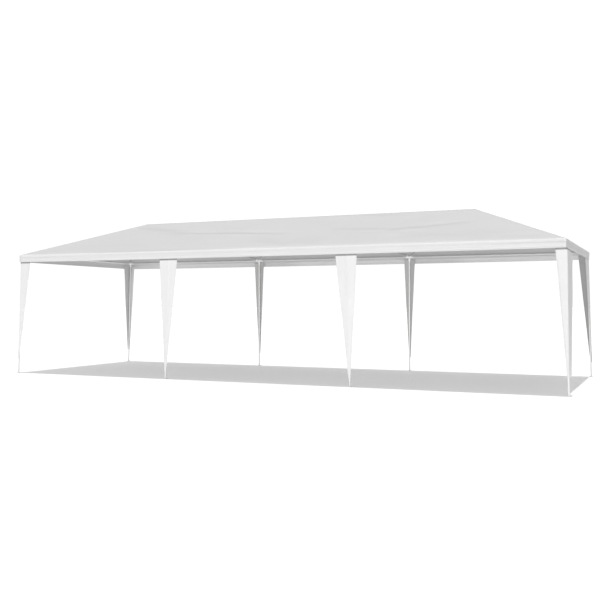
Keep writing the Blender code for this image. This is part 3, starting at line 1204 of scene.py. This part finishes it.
    def middle_grid(self, side: Side, cut: StripCut, z: Array, axis: Array,
                    width: Array) -> tuple[Array, Array, Array]:
        """The surface of a flat strip on a middle leg.

        The strip stands clear of the leg's axis. A narrow crease over the leg, a soft curl of both
        edges and slow waves along the height are added square to it.

        Args:
            side: Which long side.
            cut: How the strip is cut.
            z: Heights of the rows, one to a row as all that follows.
            axis: The leg's axis at those heights.
            width: The strip's width at those heights.

        Returns:
            Points, distance from the nearest edge, distance across.
        """
        half = width / 2
        across, away, thick = self.across_columns(half, half)
        share = across / half
        edge = np.abs(share)
        phase = self.middle_phases[0] * axis[0, 0, 0]
        crease = (self.crease + cut.crease * hump(z, *self.crease_high)) * hump(across, *self.crease_across)
        curl = cut.curl * edge**self.curl_power * blend_over(half, *self.curl_widths)
        (slow, quick), (slow_slant, quick_slant) = self.middle_waves, self.middle_slants
        wave = slow.at(z, phase + slow_slant * share) * edge**self.row_power
        wave = wave + quick.at(z, self.middle_phases[1] * phase + quick_slant * share) * edge
        outward = self.stand_off(z) + thick + crease - curl + wave
        points = together(axis[..., 0] - side.value * across, axis[..., 1] + side.value * outward, z)
        return points, away, across

    def corner_grid(self, column: int, side: Side, cut: StripCut, z: Array, axis: Array,
                    row: Array, end: Array) -> tuple[Array, Array, Array]:
        """The surface of a strip folded round a corner leg.

        A point at distance s from the fold lies at edge + into * neg(s) + out * pos(s), where neg
        and pos are s cut off at 0 with a soft corner: (sqrt(s^2 + r^2) -+ s) / 2. Waves along the
        height and creases across are added where the wings are wide.

        Args:
            column: Which column of legs.
            side: Which long side.
            cut: How the strip is cut.
            z: Heights of the rows, one to a row as all that follows.
            axis: The leg's axis at those heights.
            row: The width of the wing along the row at those heights.
            end: The width of the wing along the end of the tent.

        Returns:
            Points, distance from the nearest edge, distance across.
        """
        which, outward = (1, 1.0) if column else (0, -1.0)
        row_first = outward * side.value < 0
        across, away, thick = self.across_columns(*((row, end) if row_first else (end, row)))
        low = axis[0, :, 0] + outward * (self.stand_off(z[0]) - cut.fold_in)
        high = self.plan.leg_x(column) + outward * cut.fold_out[which]
        spread = (z - cut.bottom) / (cut.top - cut.bottom)
        edge_x = low + spread * (high - low)
        edge_y = axis[..., 1] + side.value * self.stand_off(z)
        lean = cut.lean_tail + spread * (cut.lean_top[which] - cut.lean_tail)
        soft = np.hypot(across, self.fold_round)
        before, after = (soft - across) / 2, (across + soft) / 2
        on_row, on_end = (before, after) if row_first else (after, before)
        x, y = edge_x - outward * on_row, edge_y - side.value * on_end
        on_row, on_end = on_row / row, on_end / end
        by_place, by_side, ahead = self.corner_phases
        phase = by_place * edge_x[0] + by_side * side.value
        slow, quick = self.corner_waves
        wave = slow.at(z, phase) + quick.at(z, ahead * phase)
        crease = self.corner_crease.at(across, self.corner_bend.at(z, phase)) * on_row * (1 - on_row)
        grow = blend_over(np.minimum(row, end), *self.corner_widths)
        x = x + outward * (thick + lean * on_end + wave * on_end**self.end_power * grow)
        wave = wave * self.row_share * on_row**self.row_power
        y = y + side.value * (thick + (wave + crease) * grow)
        return together(x, y, z - cut.slant * on_end * spread**self.slant_power), away, across

    def build(self) -> list[bpy.types.Object]:
        """Make the eight strips."""
        return [self.build_one(*leg) for leg in self.plan.legs()]


@dataclass
class PoleFrame:
    """Legs, eave poles, rafters and ridge poles of thin round tube, each in two pushed-together lengths.

    The outline of a rim is in shares of its size, along the tube and inwards. That of a joint is in
    metres from the joint and in shares of the groove's depth. The weld's place is its distance out
    from the tube and up from the plate.
    """

    plan: TentPlan
    finish: bpy.types.Material
    # The roof poles take a darker copy of the white coat: painted shade, where they sit under the cloth.
    roof_finish: bpy.types.Material
    socket: float = 0.0366
    groove: float = 0.0007
    rim: float = 0.0008
    leg_joint: float = 1.02
    plate_half: float = 0.035
    plate_thick: float = 0.004
    plate_bevel: float = 0.0009
    plate_power: float = 9.0
    plate_land: float = 0.55
    weld_radius: float = 0.0022
    weld_sides: int = 8
    weld_ripple: Wave = Wave(0.0003, 13.0)
    weld_place: Pair = (0.0004, 0.0006)
    rim_outline: tuple[Pair, ...] = ((0.0, 1.0), (MID_ROUND, MID_ROUND), (1.0, 0.0))
    joint_outline: tuple[Pair, ...] = ((-0.030, 0.0), (-0.0022, 0.0), (-0.0012, 0.2), (-0.0006, 1.0),
                                       (0.0006, 1.0), (0.0010, 0.1), (0.002, 0.0), (0.030, 0.0))
    sides: int = 32

    def tube_profile(self, start: float, end: float, joint: float) -> Array:
        """The outline of a tube: rounded rims and the shallow step where its two lengths meet.

        Args:
            start: Where the tube starts along its axis.
            end: Where it ends.
            joint: Where its lengths meet.

        Returns:
            Rows of distance along and away from the axis.
        """
        radius = self.plan.tube
        rim = [(self.rim * along, radius - self.rim * inward) for along, inward in self.rim_outline]
        step = [(joint + along, radius - self.groove * depth) for along, depth in self.joint_outline]
        first, last = [(start + along, r) for along, r in rim], [(end - along, r) for along, r in rim[::-1]]
        return np.array([(start, 0.0), *first, *step, *last, (end, 0.0)])

    def build_leg(self, column: int, side: Side, name: str) -> bpy.types.Object:
        """Make one leg: a tube with a weld bead on a rounded foot plate.

        Args:
            column: Which column of legs.
            side: Which long side.
            name: The leg's name.

        Returns:
            The leg.
        """
        foot, head = self.plan.foot(column, side), self.plan.head(column, side)
        reach = float(np.linalg.norm(head - foot))
        direction = (head - foot) / reach
        profile = self.tube_profile(self.plate_thick, reach - self.socket, self.leg_joint)
        shape = SurfaceMesh().add(turned(foot, direction, profile, self.sides))
        shape.add(self.plate(foot)).add(self.weld(foot, direction))
        return shape.build(f"pole_leg_{name}", self.finish, "steel", (f"leg_{name}",))

    def plate(self, foot: Array) -> Array:
        """A square plate with rounded corners: r(a) = half / (|cos a|^p + |sin a|^p)^(1/p).

        Args:
            foot: Where the leg's axis meets the ground.

        Returns:
            The grid of points, from the middle underneath to the middle on top.
        """
        angle, power = circle(2 * self.sides), self.plate_power
        reach = (np.abs(np.cos(angle)) ** power + np.abs(np.sin(angle)) ** power) ** (-1.0 / power)
        half, thick, bevel = self.plate_half, self.plate_thick, self.plate_bevel
        inward = bevel * MID_ROUND
        away, high = np.array([
            (0.0, 0.0), (half - bevel, 0.0), (half, bevel), (half, thick - bevel),
            (half - inward, thick - inward), (half - bevel, thick),
            (half * self.plate_land, thick), (0.0, thick)]).T[..., None]
        return foot + together(away * reach * np.cos(angle), away * reach * np.sin(angle), high)

    def weld(self, foot: Array, direction: Array) -> Array:
        """The bead where the tube meets the plate: a ring with a rippled round section.

        Args:
            foot: Where the leg's axis meets the ground.
            direction: The way of the leg.

        Returns:
            The grid of points, closed both ways.
        """
        angle, turn = circle(2 * self.sides), circle(self.weld_sides)[:, None]
        bead = self.weld_radius + self.weld_ripple.at(angle)
        away = self.plan.tube + self.weld_place[0] + bead * np.cos(turn)
        high = self.plate_thick + self.weld_place[1] + bead * np.sin(turn)
        centre = foot + direction * self.plate_thick
        centre[2] = foot[2]
        return centre + together(away * np.cos(angle), away * np.sin(angle), high)

    def build(self) -> list[bpy.types.Object]:
        """Make every pole.

        Returns:
            The poles.
        """
        made = [self.build_leg(*leg) for leg in self.plan.legs()]
        for name, start, end in self.plan.spans():
            reach = float(np.linalg.norm(end - start))
            profile = self.tube_profile(self.socket, reach - self.socket, reach / 2)
            grid = turned(start, (end - start) / reach, profile, self.sides)
            # Rafters and ridge poles get the darker copy of the coat, painted shade.
            finish = self.finish if name.startswith("eave") else self.roof_finish
            made.append(SurfaceMesh().add(grid).build(f"pole_{name}", finish, "steel", (name,)))
        return made


@dataclass
class Connectors:
    """The moulded leg heads and ridge hubs, with a socket for each pole, and their screws.

    The outline of a lip is in metres back from the socket's mouth and out from its wall, and that
    of a screw in metres along and away from its axis.
    """

    plan: TentPlan
    finish: bpy.types.Material
    screw_finish: bpy.types.Material
    reach: float = 0.070
    bore: float = 0.0131
    wall: float = 0.0022
    arm_start: float = 0.002
    bore_start: float = 0.036
    core_rows: int = 13
    web_rows: int = 9
    web_half: float = 0.0013
    web_back: float = 0.016
    web_pull: float = 0.024
    web_root: float = 0.002
    web_edge: float = 0.010
    web_round: float = 0.4
    web_angles: Pair = (0.15, 0.9)
    mouth: float = 0.0006
    lip: tuple[Pair, ...] = ((0.013, 0.0), (0.0122, 0.0011), (0.0115, 0.0015), (0.0020, 0.0015),
                             (0.0008, 0.0011), (0.0, 0.0))
    steep: float = 0.7
    screw_place: float = 0.052
    screw_sides: int = 12
    screw_outline: tuple[Pair, ...] = (
        (-0.0005, 0.0), (-0.0005, 0.0034), (0.0007, 0.0034), (0.0016, 0.002108), (0.0018, 0.0012),
        (0.0009, 0.0008), (0.0009, 0.0))

    def arm(self, centre: Array, direction: Array) -> Array:
        """One socket: a turned outline with a ribbed lip, and a bore that the pole stands in.

        Args:
            centre: Where the sockets' axes meet.
            direction: The way of this socket.

        Returns:
            The grid of points.
        """
        outer, hole, reach, start = self.bore + self.wall, self.bore, self.reach, self.arm_start
        lip = [(reach - back, outer + out) for back, out in self.lip]
        return turned(centre, direction, [
            (start, 0.0), (start, outer), *lip, (reach, hole + self.mouth), (reach - self.mouth, hole),
            (self.bore_start, hole), (self.bore_start, 0.0)])

    def core(self, centre: Array) -> Array:
        """The round middle of a fitting, a turned half circle."""
        turn = np.linspace(0.0, math.pi, self.core_rows)
        return turned(centre, UP, self.plan.core * together(-np.cos(turn), np.sin(turn)))

    def web(self, centre: Array, first: Array, second: Array) -> Array:
        """A thin stiffening rib between two sockets.

        Its rim is a curve p = (1-t)^2 start + 2t(1-t) pull + t^2 end. The loop of rows goes round
        the rib's section, and each end is closed by a fan about the section's middle.

        Args:
            centre: Where the sockets' axes meet.
            first: The way of one socket.
            second: The way of the other.

        Returns:
            The closed grid of points.
        """
        share = np.linspace(0.0, 1.0, self.web_rows)[:, None]
        start, end = (centre + way * (self.reach - self.web_back) for way in (first, second))
        pull = centre + (first + second) * self.web_pull
        rim = (1 - share) ** 2 * start + 2 * share * (1 - share) * pull + share**2 * end
        normal = unit(np.cross(first, second)) * self.web_half
        middle = np.broadcast_to(centre + (first + second) * self.web_root, rim.shape)
        edge, thin = rim + (rim - centre) * self.web_edge, normal * self.web_round
        loop = np.stack((middle - normal, rim - normal, edge - thin, edge + thin,
                         rim + normal, middle + normal, middle - normal))
        caps = [np.broadcast_to(loop[:-1, place].mean(axis=0), (len(loop), 1, 3)) for place in (0, -1)]
        return np.concatenate((caps[0], loop, caps[1]), axis=1)

    def screw(self, centre: Array, direction: Array) -> Array:
        """A small round screw head on the lower side of a socket.

        Args:
            centre: Where the sockets' axes meet.
            direction: The way of the socket.

        Returns:
            The grid of points.
        """
        side = -UP if abs(direction[2]) < self.steep else np.array([0.0, -1.0, 0.0])
        side = unit(side - direction * float(side @ direction))
        seat = centre + direction * self.screw_place + side * (self.bore + self.wall)
        return turned(seat, side, self.screw_outline, self.screw_sides)

    def build_one(self, node: str, centre: Array, ends: list[Array]) -> list[bpy.types.Object]:
        """Make one fitting and its screws.

        Args:
            node: The CAD node that it stands for.
            centre: Where its axes meet.
            ends: A far point on each of its axes.

        Returns:
            The fitting, and its screws as one piece.
        """
        ways = [unit(end - centre) for end in ends]
        shape, screws = SurfaceMesh().add(self.core(centre)), SurfaceMesh()
        for way in ways:
            shape.add(self.arm(centre, way))
            screws.add(self.screw(centre, way))
        for index, first in enumerate(ways):
            for second in ways[index + 1:]:
                if self.web_angles[0] < float(first @ second) < self.web_angles[1]:
                    shape.add(self.web(centre, first, second))
        return [shape.build(f"fitting_{node}", self.finish, "fitting", (node,)),
                screws.build(f"screws_{node}", self.screw_finish, "steel")]

    def build(self) -> list[bpy.types.Object]:
        """Make the eight leg heads and the three ridge hubs.

        Returns:
            The fittings and their screws.
        """
        plan, last, made = self.plan, self.plan.bays, []
        for column, side, name in plan.legs():
            ends = [plan.foot(column, side)]
            ends += [plan.head(c, side) for c in (column - 1, column + 1) if 0 <= c <= last]
            ends += [plan.hub(b) for b in (column - 1, column) if 0 <= b < last]
            if plan.is_corner(column):
                ends.append(plan.head(column, Side(-side.value)))
            made += self.build_one(f"leg_head_{name}", plan.head(column, side), ends)
        for bay, place in enumerate(plan.bay_names):
            ends = [plan.head(c, side) for c in (bay, bay + 1) for side in Side]
            ends += [plan.hub(b) for b in (bay - 1, bay + 1) if 0 <= b < last]
            made += self.build_one(f"ridge_hub_{place}", plan.hub(bay), ends)
        return made


@dataclass
class Studio:
    """Camera, floor, sky and lamps."""

    lens: float = 49.690
    sensor: float = 36.0
    eye: Triple = (5.7553, -12.6335, 1.1810)
    yaw: float = -0.42298
    pitch: float = 0.00502
    far_clip: float = 1000.0
    floor_half: float = 300.0
    floor_shade: float = 0.96
    floor_glow: float = 0.155
    sun_power: float = 1.50
    sun_width: float = 0.6
    card_power: float = 15500.0
    card_size: Pair = (16.0, 0.8)
    card_away: float = 60.0
    card_side: float = -6.0
    card_high: float = 0.45
    sky_low: float = 0.48
    sky_high: float = 0.66
    sky_side: float = 0.50
    sky_tilt: float = 0.05
    sky_heights: Pair = (0.35, 0.9)
    sky_sides: Pair = (0.0, 0.8)
    sky_seen: float = 1.05

    def camera(self) -> None:
        """Put the camera where the photograph was taken from."""
        data = bpy.data.cameras.new("camera")
        data.lens, data.sensor_width, data.clip_end = self.lens, self.sensor, self.far_clip
        made = put_in_scene("camera", data)
        made.location = self.eye
        made.rotation_euler = Euler((math.pi / 2 + self.pitch, 0.0, -self.yaw))
        bpy.context.scene.camera = made

    def floor(self) -> None:
        """Lay a plain pale floor."""
        half = self.floor_half
        mesh = bpy.data.meshes.new("floor")
        corners = [(-half, -half, 0), (half, -half, 0), (half, half, 0), (-half, half, 0)]
        mesh.from_pydata(corners, [], [(0, 1, 2, 3)])
        shade = (self.floor_shade,) * 3
        material, graph = new_material("pale_floor", shade)
        shader = graph.node("ShaderNodeBsdfPrincipled", {}, {
            "Base Color": (*shade, 1.0), "Roughness": 1.0, "Specular IOR Level": 0.0,
            "Emission Color": WHITE, "Emission Strength": self.floor_glow})
        graph.node("ShaderNodeOutputMaterial", {}, {"Surface": shader})
        mesh.materials.append(material)
        put_in_scene("floor", mesh)

    def sky(self) -> None:
        """A soft sky, brighter overhead than low down but dimmer overhead towards the right, and white
        where the camera sees it.
        """
        world = bpy.data.worlds.new("studio")
        world.use_nodes = True
        bpy.context.scene.world = world
        graph = Graph(world.node_tree)
        direction = graph.place("Generated")
        right, high = graph.part(direction, 0), graph.part(direction, 2)
        smooth = {"interpolation_type": "SMOOTHSTEP"}
        overhead, aside = (
            graph.node("ShaderNodeMapRange", smooth, {"Value": value, "From Min": least, "From Max": most})
            for value, (least, most) in ((high, self.sky_heights), (right, self.sky_sides)))
        low = (1.0 + right * self.sky_tilt) * self.sky_low
        high = (1.0 - aside * self.sky_side) * self.sky_high
        level = graph.node("ShaderNodeMix", {"data_type": "FLOAT"}, {0: overhead, 2: low, 3: high})
        seen = graph.node("ShaderNodeLightPath", {}, {}, "Is Camera Ray")
        level = graph.node("ShaderNodeMix", {"data_type": "FLOAT"}, {0: seen, 2: level, 3: self.sky_seen})
        light = graph.node("ShaderNodeBackground", {}, {"Color": WHITE, "Strength": level})
        graph.node("ShaderNodeOutputWorld", {}, {"Surface": light})

    def lamp(self, name: str, kind: str, **settings: object) -> bpy.types.Object:
        """Hang one lamp.

        Args:
            name: The lamp's name.
            kind: Which kind of lamp it is.
            settings: Its strength, size and shape.

        Returns:
            The lamp.
        """
        data = bpy.data.lights.new(name, kind)
        for key, value in settings.items():
            setattr(data, key, value)
        return put_in_scene(name, data)

    def build(self) -> None:
        """Set the whole studio up."""
        self.camera()
        self.floor()
        self.sky()
        self.lamp("overhead", "SUN", energy=self.sun_power, angle=math.radians(self.sun_width))
        card = self.lamp("front_card", "AREA", energy=self.card_power, shape="RECTANGLE",
                         size=self.card_size[0], size_y=self.card_size[1])
        side = math.radians(self.card_side)
        away = Vector((math.sin(side), -math.cos(side), 0.0)) * self.card_away
        card.location = away + Vector((0.0, 0.0, self.card_high))
        card.rotation_euler = Euler((math.pi / 2, 0.0, side))
        card.visible_camera = False
        bpy.context.scene.view_settings.view_transform = "Standard"


def grey(level: float) -> Colour:
    """A grey of that level."""
    return (level,) * 3


def main() -> None:
    """Build the tent in order and report each piece."""
    logging.basicConfig(level=logging.INFO, format="%(name)s: %(message)s")
    Studio().build()
    plan = TentPlan()
    # Valance bands: whiter at the doubled hem, then painted shade in the middle and a painted highlight
    # where the cloth turns over the eave.
    bands = ((0.0, 1.03), (0.028, 1.03), (0.038, 0.965), (0.095, 0.965), (0.104, 1.05), (0.120, 1.05),
             (0.130, 0.98))
    # The cover's valance bands and its lighter end valances are painted light and shade.
    cover = ClothFinish("cover_fabric", grey(0.66), grey(0.63), bands=bands, streak=0.2, end_gain=0.045)
    # The roof's inside: a darker copy of the cover as painted shade, with its valance painted lighter and
    # an even painted glow.
    under = ClothFinish("cover_lining", grey(0.305), grey(0.285), valance_light_gain=1.43, valance_light_rise=0.52, painted_glow=0.14)
    strip = ClothFinish("strip_fabric", grey(0.685), grey(0.655))
    # The strips' inside: a darker copy of the strip cloth as painted shade, painted darker towards the
    # right and lighter towards the left, with an even painted glow.
    inside = ClothFinish("strip_lining", grey(0.36), grey(0.33), hang=1e-6, fade=0.0045, painted_glow=0.07)
    coat = CoatFinish("white_powder_coat", grey(0.86), (0.78, 0.78, 0.77))
    # A darker copy of the white coat for the poles under the roof: painted shade.
    shaded_coat = CoatFinish("grey_powder_coat", grey(0.52), grey(0.47))
    moulded = MouldedFinish("white_moulding", (0.92, 0.92, 0.91), (0.86, 0.86, 0.85))
    zinc = ZincFinish("zinc_screws")
    makers = (RoofCover(plan, (cover.material(), under.material())),
              LegStrips(plan, (strip.material(), inside.material())),
              PoleFrame(plan, coat.material(), shaded_coat.material()),
              Connectors(plan, moulded.material(), zinc.material()))
    for maker in makers:
        for piece in maker.build():
            LOG.info("made %s", piece.name)


if __name__ == "__main__":
    main()
